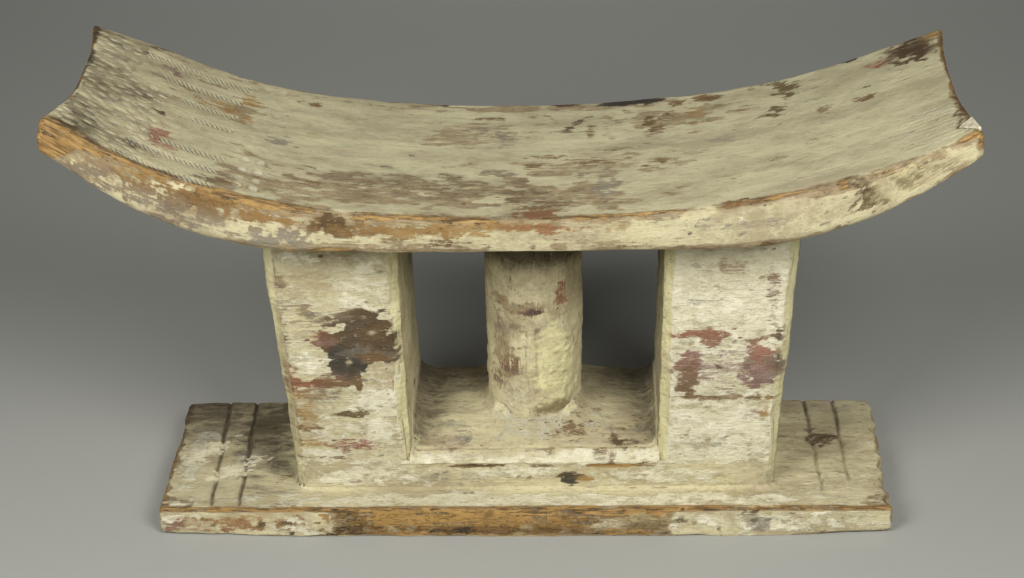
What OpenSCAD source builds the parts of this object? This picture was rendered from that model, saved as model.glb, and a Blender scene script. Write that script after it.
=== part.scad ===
// Headrest carved in the form of a small stool: a long curved seat on two broad
// posts and a round column, which stand on a plinth and a flat base slab.
// Millimetres, +X to the right, +Y to the back, +Z up.
// The origin is the middle of the slab's underside.

/* [Seat] */
// Length of the seat from tip to tip
seat_length = 360; // [340:1:380]
// Depth of the seat from front to back
seat_depth = 114; // [104:1:124]
// Height of the lowest point of the seat's top above the ground
saddle_height = 153; // [145:1:165]
// Thickness of the seat at its middle
seat_thickness = 14.6; // [13:0.1:18]
// How far the seat sits behind the slab's middle
seat_back_shift = 4.2; // [0:0.1:6]
// Radius of the shallow dip in the middle of the seat's top
dip_radius = 625; // [500:5:800]
// Half the length of that shallow dip
dip_half = 75; // [65:1:85]
// Radius of the top of the left wing, which curls up more
left_wing_radius = 230; // [215:1:260]
// Radius of the top of the right wing
right_wing_radius = 330; // [300:1:360]
// Radius of the underside of the left wing
left_belly_radius = 148; // [145:1:155]
// Radius of the underside of the right wing
right_belly_radius = 158; // [155:1:165]
// How far the middle of the left end is hollowed inwards
left_end_bow = 6; // [3:0.5:9]
// How far the middle of the right end is hollowed inwards
right_end_bow = 4; // [2:0.5:7]

/* [Corner fill] */
// How far the filled chip reaches in from the seat's right end
fill_reach = 9; // [7:0.5:12]
// Length of the filled chip along the end
fill_length = 17.5; // [14:0.5:20]
// How far the filled chip starts behind the seat's front
fill_setback = 3; // [2:0.5:5]
// Depth of the chip below the seat's tip
fill_depth = 6; // [5:0.5:8]

/* [Posts and column] */
// Width of the pedestal across both posts, at the slab
pedestal_width = 205; // [196:1:214]
// Clear gap between the posts, at the slab
gap_width = 104.4; // [96:0.1:112]
// Depth of the posts and the plinth
pedestal_depth = 65.5; // [58:0.5:72]
// How far the posts' front stands behind the slab's middle line
pedestal_front = -29.5; // [-34:0.5:-25]
// How far the pedestal stands to the right of the slab's middle
pedestal_shift = 5; // [0:0.1:6]
// How much a post's outer face leans out for each millimetre of height
outer_lean = 0.04; // [0.02:0.005:0.06]
// How much a post's inner face leans out for each millimetre of height
inner_lean = 0.02; // [0:0.005:0.03]
// Width of the chamfer on the posts' upright front edges
post_chamfer = 4.5; // [2:0.5:6]
// Diameter of the round column
column_d = 41; // [36:0.5:46]
// How far the column's axis stands behind the slab's middle
column_back = 6; // [2:0.5:10]

/* [Plinth] */
// Height of the plinth's flat top, which the posts stand on, above the slab
sill_height = 14; // [10:0.5:17]
// Size of the chamfer along the front of the floor between the posts
sill_chamfer = 4.5; // [2:0.5:6]
// Height of the crowned floor's top above the sill
crown_height = 12; // [8:0.5:14]
// Radius of the crowned floor, seen from the side
crown_radius = 77; // [70:1:90]

/* [Base slab] */
// Length of the slab
slab_length = 312; // [290:1:330]
// Depth of the slab
slab_depth = 87.4; // [80:0.1:95]
// Height of the slab
slab_height = 13; // [10:0.5:16]
// Distance of the outer groove from the left end
left_groove_inset = 21; // [12:1:26]
// Distance of the outer groove from the right end
right_groove_inset = 16; // [12:1:26]
// Distance between the two grooves of a pair
groove_gap = 13; // [10:1:16]
// Depth of the V-shaped grooves
groove_depth = 1.2; // [0.6:0.1:2]

/* [Hidden] */
$fn = 96;
smooth = 360; // facets on the long, flat curves of the seat and the floor

sill_z = slab_height + sill_height;
crown_z = sill_z + crown_height;
belly_z = saddle_height - seat_thickness;
tall = 120; // reach of a cutting shape, more than the seat rises above its underside
clear = 1; // how far a cutting shape stands out past the wood it cuts
fill_apex = 0.63; // how far along the chip, as a share of its length, its inner corner lies
pedestal_back = pedestal_front + pedestal_depth;
seat_front = seat_back_shift - seat_depth / 2;
slab_ends = [-slab_length / 2, slab_length / 2];
dip_angle = asin(dip_half / dip_radius);
right_tip_rise = wing_rise(right_wing_radius);
fill_z = saddle_height + right_tip_rise - fill_depth;

// Height of a wing's tip above the dip's lowest point.
function wing_rise(r) =
    let (
        run = seat_length / 2 - dip_half,
        tip_angle = asin(sin(dip_angle) + run / r)
    )
    dip_radius * (1 - cos(dip_angle)) + r * (cos(dip_angle) - cos(tip_angle));

// Radius of an arc that bows by this much over this chord.
function arc_radius(chord, bow) = (chord * chord / 4 + bow * bow) / (2 * bow);

// Runs a side outline, drawn in X and Z, from one Y to another.
module along_y(y_from, y_to) {
    translate([0, y_to, 0])
        rotate([90, 0, 0])
            linear_extrude(y_to - y_from) children();
}

// Runs an end outline, drawn in Y and Z, from one X to another.
module along_x(x_from, x_to) {
    translate([x_from, 0, 0])
        rotate([90, 0, 90])
            linear_extrude(x_to - x_from) children();
}

// ---- seat ----

// The space above one wing: inside its circle, outwards of the dip.
// side is -1 for the left wing and 1 for the right one.
module wing_space(side, centre, r) {
    intersection() {
        translate(centre) circle(r, $fn = smooth);
        translate([side > 0 ? dip_half : -dip_half - seat_length, centre[1] - r])
            square([seat_length, tall]);
    }
}

// Everything above the seat's top: a shallow dip that runs on smoothly into both wings.
module space_above_top() {
    dip_centre = [0, saddle_height + dip_radius];
    intersection() {
        translate(dip_centre) circle(dip_radius, $fn = smooth);
        translate([-dip_half, saddle_height]) square([2 * dip_half, tall]);
    }
    for (wing = [[-1, left_wing_radius], [1, right_wing_radius]]) {
        towards_join = [wing[0] * sin(dip_angle), -cos(dip_angle)];
        wing_space(wing[0], dip_centre + (dip_radius - wing[1]) * towards_join, wing[1]);
    }
}

// Everything above the seat's underside: flat in the middle, rising under both wings.
module space_above_belly() {
    translate([-dip_half, belly_z]) square([2 * dip_half, tall]);
    wing_space(-1, [-dip_half, belly_z + left_belly_radius], left_belly_radius);
    wing_space(1, [dip_half, belly_z + right_belly_radius], right_belly_radius);
}

// Cuts an end of the seat hollow, between its two pointed corners.
module end_cutter(side, bow) {
    r = arc_radius(seat_depth, bow);
    translate([side * (seat_length / 2 - bow + r), seat_back_shift, belly_z - clear])
        cylinder(h = tall, r = r, $fn = smooth);
}

module seat_blank() {
    difference() {
        along_y(seat_front, seat_front + seat_depth)
            difference() {
                intersection() {
                    space_above_belly();
                    translate([-seat_length / 2, 0]) square([seat_length, 2 * saddle_height]);
                }
                space_above_top();
            }
        end_cutter(-1, left_end_bow);
        end_cutter(1, right_end_bow);
    }
}

// The three-cornered chip in the seat's right end, near the front corner.
module chip() {
    translate([seat_length / 2, seat_front + fill_setback, fill_z])
        linear_extrude(tall)
            polygon([[-fill_reach, fill_apex * fill_length], [clear, 0], [clear, fill_length]]);
}

module seat() {
    color("#cdbf92")
        difference() {
            seat_blank();
            chip();
        }
}

module corner_fill() {
    color("#ece7d2")
        intersection() {
            seat_blank();
            chip();
        }
}

// ---- pedestal ----

// The front view of a block between two leaning sides, as wide as given at the slab.
module leaning_outline(width, lean) {
    half = width / 2;
    spread = lean * (saddle_height - slab_height);
    translate([pedestal_shift, 0])
        polygon([
            [-half, slab_height],
            [half, slab_height],
            [half + spread, saddle_height],
            [-half - spread, saddle_height]
        ]);
}

// Takes the corner off an upright front edge, which leans as its face does.
// within is 1 where the wood lies between the two edges of that width, and -1 outside them.
module edge_cutter(side, width, lean, within) {
    reach = 4 * post_chamfer;
    translate([pedestal_shift + side * width / 2, pedestal_front, slab_height])
        rotate([0, side * atan(lean), 0])
            rotate([0, 0, within * side * 45])
                translate([-reach / 2, post_chamfer / sqrt(2) - reach, -tall])
                    cube([reach, reach, 3 * tall]);
}

// The front view of one post: it stands on the sill and is coped to the seat's underside.
module post_outline(side) {
    intersection() {
        difference() {
            leaning_outline(pedestal_width, outer_lean);
            leaning_outline(gap_width, inner_lean);
            space_above_belly();
        }
        translate([side > 0 ? pedestal_shift : pedestal_shift - seat_length, sill_z])
            square([seat_length, saddle_height]);
    }
}

module post(side) {
    difference() {
        along_y(pedestal_front, pedestal_back) post_outline(side);
        edge_cutter(side, pedestal_width, outer_lean, 1);
        edge_cutter(side, gap_width, inner_lean, -1);
    }
}

module left_post() {
    color("#d3c69a") post(-1);
}

module right_post() {
    color("#d3c69a") post(1);
}

// The crowned floor's round top, seen from the end.
module crown_circle() {
    translate([column_back, crown_z - crown_radius]) circle(crown_radius, $fn = smooth);
}

// The floor between the posts: chamfered along its front and crowned towards the column.
module crowned_floor() {
    slope_run = sill_chamfer + crown_height;
    intersection() {
        along_x(-slab_length / 2, slab_length / 2)
            intersection() {
                crown_circle();
                polygon([
                    [pedestal_front, sill_z],
                    [pedestal_back, sill_z],
                    [pedestal_back, crown_z],
                    [pedestal_front + slope_run, sill_z + slope_run]
                ]);
            }
        along_y(pedestal_front - clear, pedestal_back + clear) leaning_outline(gap_width, inner_lean);
    }
}

module plinth() {
    color("#cabd90") {
        difference() {
            along_y(pedestal_front, pedestal_back)
                intersection() {
                    leaning_outline(pedestal_width, outer_lean);
                    translate([-slab_length / 2, slab_height]) square([slab_length, sill_height]);
                }
            for (side = [-1, 1]) edge_cutter(side, pedestal_width, outer_lean, 1);
        }
        crowned_floor();
    }
}

module centre_column() {
    color("#c8bda0")
        difference() {
            translate([pedestal_shift, column_back, sill_z])
                cylinder(h = belly_z - sill_z, d = column_d);
            along_x(-slab_length / 2, slab_length / 2) crown_circle();
        }
}

// ---- base slab ----

module groove(x) {
    translate([x, 0, slab_height])
        rotate([0, 45, 0])
            cube([groove_depth * sqrt(2), slab_depth + 2 * clear, groove_depth * sqrt(2)], center = true);
}

module base_slab() {
    color("#c4b183")
        difference() {
            translate([-slab_length / 2, -slab_depth / 2, 0])
                cube([slab_length, slab_depth, slab_height]);
            for (step = [0, groove_gap]) {
                groove(slab_ends[0] + left_groove_inset + step);
                groove(slab_ends[1] - right_groove_inset - step);
            }
        }
}

base_slab();
plinth();
left_post();
right_post();
centre_column();
seat();
corner_fill();
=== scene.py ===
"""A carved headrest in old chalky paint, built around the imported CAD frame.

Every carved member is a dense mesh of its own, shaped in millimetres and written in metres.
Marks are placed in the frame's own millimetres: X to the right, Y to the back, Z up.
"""
import math

import bpy
import numpy as np
from mathutils import Matrix, Vector
from mathutils.bvhtree import BVHTree


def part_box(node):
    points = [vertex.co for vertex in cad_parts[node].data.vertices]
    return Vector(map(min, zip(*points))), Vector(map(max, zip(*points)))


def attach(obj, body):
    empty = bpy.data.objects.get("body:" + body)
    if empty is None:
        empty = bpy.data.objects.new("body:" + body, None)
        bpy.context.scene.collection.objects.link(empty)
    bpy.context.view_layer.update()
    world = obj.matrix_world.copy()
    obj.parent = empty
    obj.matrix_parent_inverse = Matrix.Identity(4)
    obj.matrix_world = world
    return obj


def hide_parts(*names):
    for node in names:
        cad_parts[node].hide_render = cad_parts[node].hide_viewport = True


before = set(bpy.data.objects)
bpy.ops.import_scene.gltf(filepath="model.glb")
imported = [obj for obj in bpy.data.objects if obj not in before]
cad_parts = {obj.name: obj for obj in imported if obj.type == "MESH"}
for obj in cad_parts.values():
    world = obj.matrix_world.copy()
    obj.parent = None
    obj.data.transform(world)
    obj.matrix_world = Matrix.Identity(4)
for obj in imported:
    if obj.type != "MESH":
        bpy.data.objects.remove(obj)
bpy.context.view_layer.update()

MM = 0.001
# A side is the axis along which it looks out, and the direction.
FRONT, BACK, LEFT, RIGHT, TOP, UNDER = (1, -1), (1, 1), (0, -1), (0, 1), (2, 1), (2, -1)
FAR = 99.0  # a distance in mm that is too great to matter
RAY_START = 50.0  # how far outside the part a measuring ray starts


# ---- small sums

def smooth(low, high, value):
    """0 below low, 1 above high and a soft step between them."""
    t = np.clip((value - low) / (high - low), 0.0, 1.0)
    return t * t * (3.0 - 2.0 * t)


def colour(code):
    """The linear colour of a hex code such as #c8b890."""
    parts = [int(code[i:i + 2], 16) / 255.0 for i in (1, 3, 5)]
    return [p / 12.92 if p <= 0.04045 else ((p + 0.055) / 1.055) ** 2.4 for p in parts]


def spaced(low, high, step):
    """Lattice lines from low to high, about one step apart."""
    return np.linspace(low, high, max(2, round((high - low) / step) + 1))


def lines(*stretches):
    """Joins stretches (low, high, step) of lattice lines."""
    return np.unique(np.concatenate([np.round(spaced(*s), 4) for s in stretches]))


def box_mm(node):
    low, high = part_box(node)
    return np.array(low) / MM, np.array(high) / MM


# ---- random fields

def corner_random(cells, seed):
    """A repeatable number from 0 to 1 for every row of whole numbers."""
    c = cells.astype(np.int64)
    h = c[..., 0] * 73856093 ^ c[..., 1] * 19349663 ^ c[..., 2] * 83492791 ^ (seed * 2654435761)
    h = (h ^ (h >> 13)) * 1274126177 & 0xFFFFFFFF
    h = (h ^ (h >> 16)) * 2246822519 & 0xFFFFFFFF
    return ((h ^ (h >> 15)) & 0xFFFFFF) / float(0xFFFFFF)


def field(points, cell, seed, octaves=3):
    """Smooth noise from about -1 to 1; cell is its size in mm, one number or one for each axis."""
    total, weight, spread = 0.0, 1.0, 0.0
    p = points / np.array(cell, float)
    for octave in range(octaves):
        base = np.floor(p)
        f = p - base
        f = f * f * f * (f * (f * 6 - 15) + 10)
        value = 0.0
        for corner in np.ndindex(2, 2, 2):
            part = np.prod(np.where(np.array(corner) == 1, f, 1 - f), axis=1)
            value = value + part * corner_random(base + corner, seed + 17 * octave)
        total = total + weight * (value * 2 - 1)
        spread += weight
        p = p * 2.03 + 11.7
        weight *= 0.5
    return total / spread * 1.6


def flat_points(across, up=0.0):
    """Points along a line or in a plane, for noise that stays the same the other way."""
    return np.column_stack([across, across * 0 + up, across * 0])


def facets(points, cell, seed):
    """Shallow hollows side by side, as a blade leaves them: 0 at their middles, 1 at their rims."""
    p = points / np.array(cell, float)
    base = np.floor(p)
    nearest = np.full(len(p), 9.0)
    for step in np.ndindex(3, 3, 3):
        cell_at = base + np.array(step) - 1
        centre = cell_at + np.stack([corner_random(cell_at, seed + k) for k in range(3)], axis=1)
        nearest = np.minimum(nearest, np.sum((p - centre) ** 2, axis=1))
    return np.clip(nearest, 0, 1)


# ---- skins: meshes being carved

def lattice(counts, thin_floor):
    """The skin of a block of lattice points: their indices and the outward faces.
    thin_floor drops every other line inside the underside."""
    ids = np.full(counts, -1)
    shell = np.zeros(counts, bool)
    shell[[0, -1], :, :] = shell[:, [0, -1], :] = shell[:, :, [0, -1]] = True
    where = np.argwhere(shell)
    ids[tuple(where.T)] = np.arange(len(where))
    floor = ids[:, :, 0].copy()
    if thin_floor:
        kept = [np.maximum(2, np.arange(1, n - 1) // 2 * 2) for n in counts[:2]]
        floor[1:-1, 1:-1] = ids[:, :, 0][np.ix_(*kept)]

    def sheet(a, turn):
        corners = [a[:-1, :-1], a[1:, :-1], a[1:, 1:], a[:-1, 1:]]
        quads = np.stack([c.ravel() for c in corners], axis=1)
        return quads[:, ::-1] if turn else quads

    quads = np.vstack([
        sheet(ids[0], True), sheet(ids[-1], False),
        sheet(ids[:, 0], False), sheet(ids[:, -1], True),
        sheet(floor, True), sheet(ids[:, :, -1], False),
    ])
    return where, quads


class Skin:
    """A mesh of quads in millimetres, with its layers of paint, wear, soiling and painted shade.
    flow holds the grain's own coordinates and arris the distance from the nearest arris."""

    def __init__(self, points, faces):
        self.points = points
        self.faces = faces
        n = len(points)
        self.flow = points.copy()
        self.arris = np.full(n, FAR)
        self.layers = {name: np.zeros(n) for name in ("bare", "grime", "chalk", "polish")}
        self.tint = np.zeros((n, 4))
        self.tint[:, :3] = 0.3

    def normals(self):
        p, quads = self.points, self.faces
        across = np.cross(p[quads[:, 2]] - p[quads[:, 0]], p[quads[:, 3]] - p[quads[:, 1]])
        total = np.zeros_like(p)
        for k in range(4):
            for axis in range(3):
                total[:, axis] += np.bincount(quads[:, k], across[:, axis], len(p))
        length = np.linalg.norm(total, axis=1)
        return total / np.maximum(length, 1e-9)[:, None]

    def place(self, x, y, z):
        """Moves the points there, and the grain with them."""
        self.points = np.column_stack([x, y, z])
        self.flow = self.points.copy()

    def push(self, amount):
        """Moves every point along its normal."""
        self.points = self.points + self.normals() * np.asarray(amount)[:, None]

    def wear(self, layer, amount):
        """Adds to one of the layers (wear, paint, soiling and painted shade), which stays between 0 and 1.
        """
        self.layers[layer] = np.clip(self.layers[layer] + amount, 0, 1)

    def dye(self, ink, share):
        """Turns the colour of the stains towards an ink."""
        self.tint[:, :3] += (np.array(colour(INKS[ink])) - self.tint[:, :3]) * share[:, None]


def rounded_block(xs, ys, zs, radius, square=(), thin_floor=False, power=2.0):
    """A block with rounded arrises. radius is a number or a function of the flat points.
    square names sides, as (axis, direction), whose arrises stay sharp.
    power 2 rounds an arris and power 1 chamfers it."""
    where, quads = lattice((len(xs), len(ys), len(zs)), thin_floor)
    flat = np.column_stack([xs[where[:, 0]], ys[where[:, 1]], zs[where[:, 2]]])
    used = np.unique(quads)
    renumber = np.full(len(flat), -1)
    renumber[used] = np.arange(len(used))
    flat, quads = flat[used], renumber[quads]
    r = radius(flat) if callable(radius) else np.full(len(flat), float(radius))
    low = flat.min(0)
    high = flat.max(0)
    gaps = np.column_stack([flat - low, high - flat])
    for axis, direction in square:
        gaps[:, axis + (3 if direction > 0 else 0)] = FAR
        (high if direction > 0 else low)[axis] += direction * FAR
    inner = np.clip(flat, low + r[:, None], high - r[:, None])
    reach = flat - inner
    length = np.sum(np.abs(reach) ** power, axis=1) ** (1 / power)
    scale = np.where(length > 1e-9, r / np.maximum(length, 1e-9), 0.0)
    skin = Skin(inner + reach * scale[:, None], quads)
    skin.flat = flat
    skin.arris = np.sort(gaps, axis=1)[:, 1] - r
    return skin


def tidy_faces(quads):
    """Lists the faces: a quad that repeats a point becomes a triangle, and an empty one goes."""
    same = np.stack([quads[:, k] == quads[:, (k + 1) % 4] for k in range(4)], axis=1)
    crossed = (quads[:, 0] == quads[:, 2]) | (quads[:, 1] == quads[:, 3])
    whole = quads[(same.sum(1) == 0) & ~crossed]
    single = (same.sum(1) == 1) & ~crossed
    rows, gap = quads[single], np.argmax(same[single], axis=1)
    keep = np.array([[k for k in range(4) if k != g] for g in range(4)])
    return whole.tolist() + np.take_along_axis(rows, keep[gap], axis=1).tolist()


def write_layer(mesh, name, kind, key, values):
    """Stores a value, or a row of values, for every point."""
    data = mesh.attributes.new(name, kind, "POINT").data
    data.foreach_set(key, values.astype(np.float32).ravel())


def build(skin, name, material, cad_node):
    """Makes the Blender object of a skin, with its layers as attributes."""
    mesh = bpy.data.meshes.new(name)
    mesh.from_pydata((skin.points * MM).tolist(), [], tidy_faces(skin.faces))
    for layer, values in skin.layers.items():
        write_layer(mesh, layer, "FLOAT", "value", values)
    write_layer(mesh, "flow", "FLOAT_VECTOR", "vector", skin.flow * MM)
    write_layer(mesh, "tint", "FLOAT_COLOR", "color", skin.tint)
    mesh.shade_smooth()
    mesh.set_sharp_from_angle(angle=math.radians(32))
    mesh.materials.append(material)
    piece = bpy.data.objects.new(name, mesh)
    bpy.context.scene.collection.objects.link(piece)
    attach(piece, "root")
    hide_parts(cad_node)


# ---- reading the CAD frame

def hits(node, origins, direction):
    """How far along direction rays from these points (mm) travel before they meet a CAD node."""
    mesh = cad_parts[node].data
    corners = [v.co / MM for v in mesh.vertices]
    tree = BVHTree.FromPolygons(corners, [list(p.vertices) for p in mesh.polygons])
    found = [tree.ray_cast(Vector(o), Vector(direction))[3] for o in origins]
    return np.array([np.nan if d is None else d for d in found])


def seat_curve(from_above):
    """The seat's top or underside as a smooth function of X, which runs on straight past both ends."""
    past, fitted, blur = 15, 12, 9
    low, high = box_mm("seat")
    xs = np.arange(low[0] + 0.5, high[0], 1.0)
    start = high[2] + RAY_START if from_above else low[2] - RAY_START
    turn = -1 if from_above else 1
    clear_of_chip = low[1] + 0.88 * (high[1] - low[1])
    zs = start + turn * hits("seat", [(x, clear_of_chip, start) for x in xs], (0, 0, turn))
    known = ~np.isnan(zs)
    zs = np.interp(xs, xs[known], zs[known])
    slope = np.polyfit(xs[:fitted], zs[:fitted], 1), np.polyfit(xs[-fitted:], zs[-fitted:], 1)
    wide = np.concatenate([xs[0] - np.arange(past, 0, -1), xs, xs[-1] + np.arange(1, past + 1)])
    zs = np.interp(wide, xs, zs)
    zs[:past] = np.polyval(slope[0], wide[:past])
    zs[-past:] = np.polyval(slope[1], wide[-past:])
    bell = np.exp(-0.5 * (np.arange(-blur, blur + 1) / 4.0) ** 2)
    padded = np.pad(zs, blur, mode="edge")
    soft = np.convolve(padded, bell / bell.sum(), mode="valid")
    soft[:blur], soft[-blur:] = zs[:blur], zs[-blur:]
    return lambda x: np.interp(x, wide, soft)


def leaning_sides(node):
    """The left and right faces of a CAD block at its half depth, as functions of Z."""
    low, high = box_mm(node)
    depth = (low[1] + high[1]) / 2
    zs = np.array([low[2] + 2, low[2] + 90])
    start, stop = low[0] - RAY_START, high[0] + RAY_START
    left = start + hits(node, [(start, depth, z) for z in zs], (1, 0, 0))
    right = stop - hits(node, [(stop, depth, z) for z in zs], (-1, 0, 0))
    fits = [np.polyfit(zs, side, 1) for side in (left, right)]
    return [lambda z, fit=fit: np.polyval(fit, z) for fit in fits]


seat_top = seat_curve(True)
seat_belly = seat_curve(False)
SLAB_LOW, SLAB_HIGH = box_mm("base_slab")
PLINTH_LOW, PLINTH_HIGH = box_mm("plinth")
SEAT_LOW, SEAT_HIGH = box_mm("seat")
COLUMN_LOW, COLUMN_HIGH = box_mm("centre_column")
COLUMN_AT = (COLUMN_LOW + COLUMN_HIGH) / 2
COLUMN_R = (COLUMN_HIGH[0] - COLUMN_LOW[0]) / 2
POST_SIDES = {node: leaning_sides(node) for node in ("left_post", "right_post")}
SILL_Z = box_mm("left_post")[0][2]
CROWN_Z = 36.0  # height of the crowned floor's paint, by the column
SEAT_THICK = 14.6  # at the seat's middle
LEFT_BOW, RIGHT_BOW = 6.0, 4.0  # how far the seat's ends are hollowed
LEFT_HORN = 4.0  # how far the left corners stand out past the CAD seat
CHIP_DEPTH = 3.0  # of the hole that the filler lies in
UPRIGHT_ARRIS, BACK_ARRIS = 4.3, 2.2  # widths of the chamfers on posts and plinth
CHAMFER_POWER = 1.08  # a chamfer that is a little rounded


# ---- shared shapes

def beyond_box(x, y, low, high, corner):
    """How far a point lies outside a rectangle with rounded corners; negative inside."""
    middle = [(l + h) / 2 for l, h in zip(low, high)]
    half = [(h - l) / 2 - corner for l, h in zip(low, high)]
    dx = np.abs(x - middle[0]) - half[0]
    dy = np.abs(y - middle[1]) - half[1]
    outside = np.hypot(np.maximum(dx, 0), np.maximum(dy, 0))
    return outside + np.minimum(np.maximum(dx, dy), 0) - corner


def fillet(gap, radius):
    """Height of a hollow fillet at this gap from a wall."""
    near = np.clip(radius - gap, 0, radius)
    return radius - np.sqrt(radius ** 2 - near ** 2)


def post_gap(x, y, z):
    """Distance from the nearest post's outline at height z."""
    gaps = []
    for left, right in POST_SIDES.values():
        low, high = (left(z), PLINTH_LOW[1]), (right(z), PLINTH_HIGH[1])
        gaps.append(beyond_box(x, y, low, high, 3.0))
    return np.minimum(*gaps)


def hand_carved(skin):
    """Takes the machine out of a surface: slow swells, blade facets and fine grain."""
    p = skin.points
    swell = 0.30 * field(p, 26, 11) + 0.16 * field(p, (14, 8, 8), 23, 2)
    blade = 0.22 * (facets(p, (15, 10, 10), 31) - 0.35)
    grain = 0.05 * field(p, (7, 1.6, 1.6), 47, 2)
    skin.push(swell + blade + grain)


def crust(skin, amount):
    """Lumps of thick paint, a few millimetres wide."""
    lumps = field(skin.points, 4.5, 171, 3)
    flakes = smooth(0.05, 0.35, field(skin.points, (11, 7, 7), 177, 3))
    skin.push(amount * (0.6 * lumps + 0.6 * flakes))


# ---- the seat

def seat_twist(x, y):
    """The left end is twisted: its front corner stands high and its back corner is low."""
    across = (y - SEAT_LOW[1]) / (SEAT_HIGH[1] - SEAT_LOW[1])
    left = smooth(-148, -184, x) * (1.0 - 6.5 * across)
    right = smooth(150, 182, x) * (0.5 - 2.0 * across)
    return left + right


def seat_arris(flat):
    """Radius of the seat's arrises: the front one is the most worn, above all at its left end."""
    x, y, z = flat.T
    front = smooth(10, -10, y)
    upper = smooth(0.35, 0.65, z / SEAT_THICK)
    wave = field(flat_points(x), 24, 5, 2)
    worn = 2.9 + 0.9 * wave + 2.6 * smooth(-150, -176, x) + 1.2 * smooth(150, 176, x)
    plain = 2.0 + 0.4 * wave
    return np.clip(plain + upper * front * (worn - plain), 1.0, 6.0)


def fill_gap():
    """The filled chip seen from above: its inner corner and its two corners on the seat's end."""
    low, high = box_mm("corner_fill")
    return (low[0], low[1] + 0.6 * (high[1] - low[1])), (high[0], low[1]), (high[0], high[1])


def inside_chip(x, y):
    """Depth inside the chip's outline, in mm; negative outside it."""
    apex, near, far = fill_gap()
    depths = []
    for corner, side in ((near, 1), (far, -1)):
        run, rise = corner[0] - apex[0], corner[1] - apex[1]
        depths.append(side * (run * (y - apex[1]) - rise * (x - apex[0])) / math.hypot(run, rise))
    return np.minimum(*depths)


def end_hollow(y):
    """How hollow the seat's ends are at this depth: 0 at the corners, 1 in the middle."""
    middle, half = (SEAT_LOW[1] + SEAT_HIGH[1]) / 2, (SEAT_HIGH[1] - SEAT_LOW[1]) / 2
    return 1 - ((y - middle) / half) ** 2


def seat_skin():
    low, high = SEAT_LOW, SEAT_HIGH
    xs = lines((low[0], -98, 0.5), (-98, 150, 1.0), (150, high[0], 0.7))
    ys = spaced(low[1], high[1], 0.9)
    block = rounded_block(xs, ys, spaced(0, SEAT_THICK, 1.2), seat_arris, thin_floor=True)
    x, y, z = block.points.T
    hollow = end_hollow(y)
    x = (x + (LEFT_BOW * hollow - LEFT_HORN) * smooth(-120, low[0], x)
         - RIGHT_BOW * hollow * smooth(130, high[0], x))
    top = seat_top(x) - CHIP_DEPTH * smooth(-0.1, 0.6, inside_chip(x, y))
    under = seat_belly(x)
    share = z / SEAT_THICK
    block.place(x, y, under + share * (top - under) + seat_twist(x, y))
    block.flow = np.column_stack([x, y, (share - 1) * SEAT_THICK])
    block.on_top = share > 0.97
    return block


def fill_skin():
    """The plaster in the chip: a three-cornered plug, a little smaller than its hole."""
    apex, near, far = fill_gap()
    reach, length, thick, slack = 8, 16, 3.2, 0.3
    block = rounded_block(spaced(0, reach, 0.4), spaced(0, length, 0.4), spaced(0, thick, 0.4), 0.7)
    u, v, z = block.points.T / np.array([reach, length, 1])[:, None]
    u = 0.08 + 0.92 * u
    near_y = apex[1] + u * (near[1] - apex[1]) + slack
    far_y = apex[1] + u * (far[1] - apex[1]) - slack
    y = near_y + v * (far_y - near_y)
    x = apex[0] + 0.2 + u * (near[0] - apex[0] - RIGHT_BOW * end_hollow(y))
    bed = seat_top(x) + seat_twist(x, y) - (CHIP_DEPTH - 0.1)
    block.place(x, y, bed + z)
    return block


# ---- the pedestal

def post_skin(node):
    """A post, wrapped round the leaning sides of its CAD block; it dips a little into its neighbours."""
    low, high = box_mm(node)
    left, right = POST_SIDES[node]
    width = 53.0
    bottom = low[2] - 2.0

    def arris(flat):
        wave = field(flat, (9, 9, 16), 61, 2)
        return np.where(flat[:, 1] < 20, UPRIGHT_ARRIS + 0.9 * wave, BACK_ARRIS + 0.5 * wave)

    xs, ys, zs = (spaced(*span, 0.75) for span in ((0, width), (0, high[1] - low[1]), (bottom, high[2])))
    block = rounded_block(xs, ys, zs, arris, square=(TOP, UNDER), power=CHAMFER_POWER)
    x, y, z = block.points.T
    share = (z - bottom) / (high[2] - bottom)
    splay = 2.6 * smooth(SILL_Z, high[2], z)
    at_left = left(z) - (splay if node == "left_post" else 0)
    at_right = right(z) + (splay if node == "right_post" else 0)
    x = at_left + x / width * (at_right - at_left)
    block.place(x, y + low[1], bottom + share * (seat_belly(x) + 0.8 - bottom))
    return block


def floor_height(x, y):
    """Top of the plinth: the sill's chamfer, the crowned floor and fillets round posts and column."""
    into = y - PLINTH_LOW[1]
    crown = CROWN_Z + 2.6 * np.exp(-(((x - COLUMN_AT[0]) / 30) ** 2)) - 1.5 * smooth(20, 55, x)
    crown = crown - 2.0 * (0.5 * smooth(0, 30, y))
    strip_width = 3.6 + 0.4 * field(flat_points(x), 18, 71, 2)
    edge = SILL_Z - smooth(0.0, 3.0, post_gap(x, y, SILL_Z))
    slope = edge + strip_width + (crown - edge - strip_width) * smooth(3, 24, into)
    height = np.minimum(edge + into, slope)
    wall = fillet(post_gap(x, y, crown), 9.0) * smooth(3, 14, into)
    foot = fillet(np.hypot(x - COLUMN_AT[0], y - COLUMN_AT[1]) - COLUMN_R, 6.0)
    height = height + np.maximum(wall, foot)
    under_post = smooth(-0.4, -1.2, post_gap(x, y, SILL_Z + 8))
    return height + under_post * (SILL_Z - height)


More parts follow.
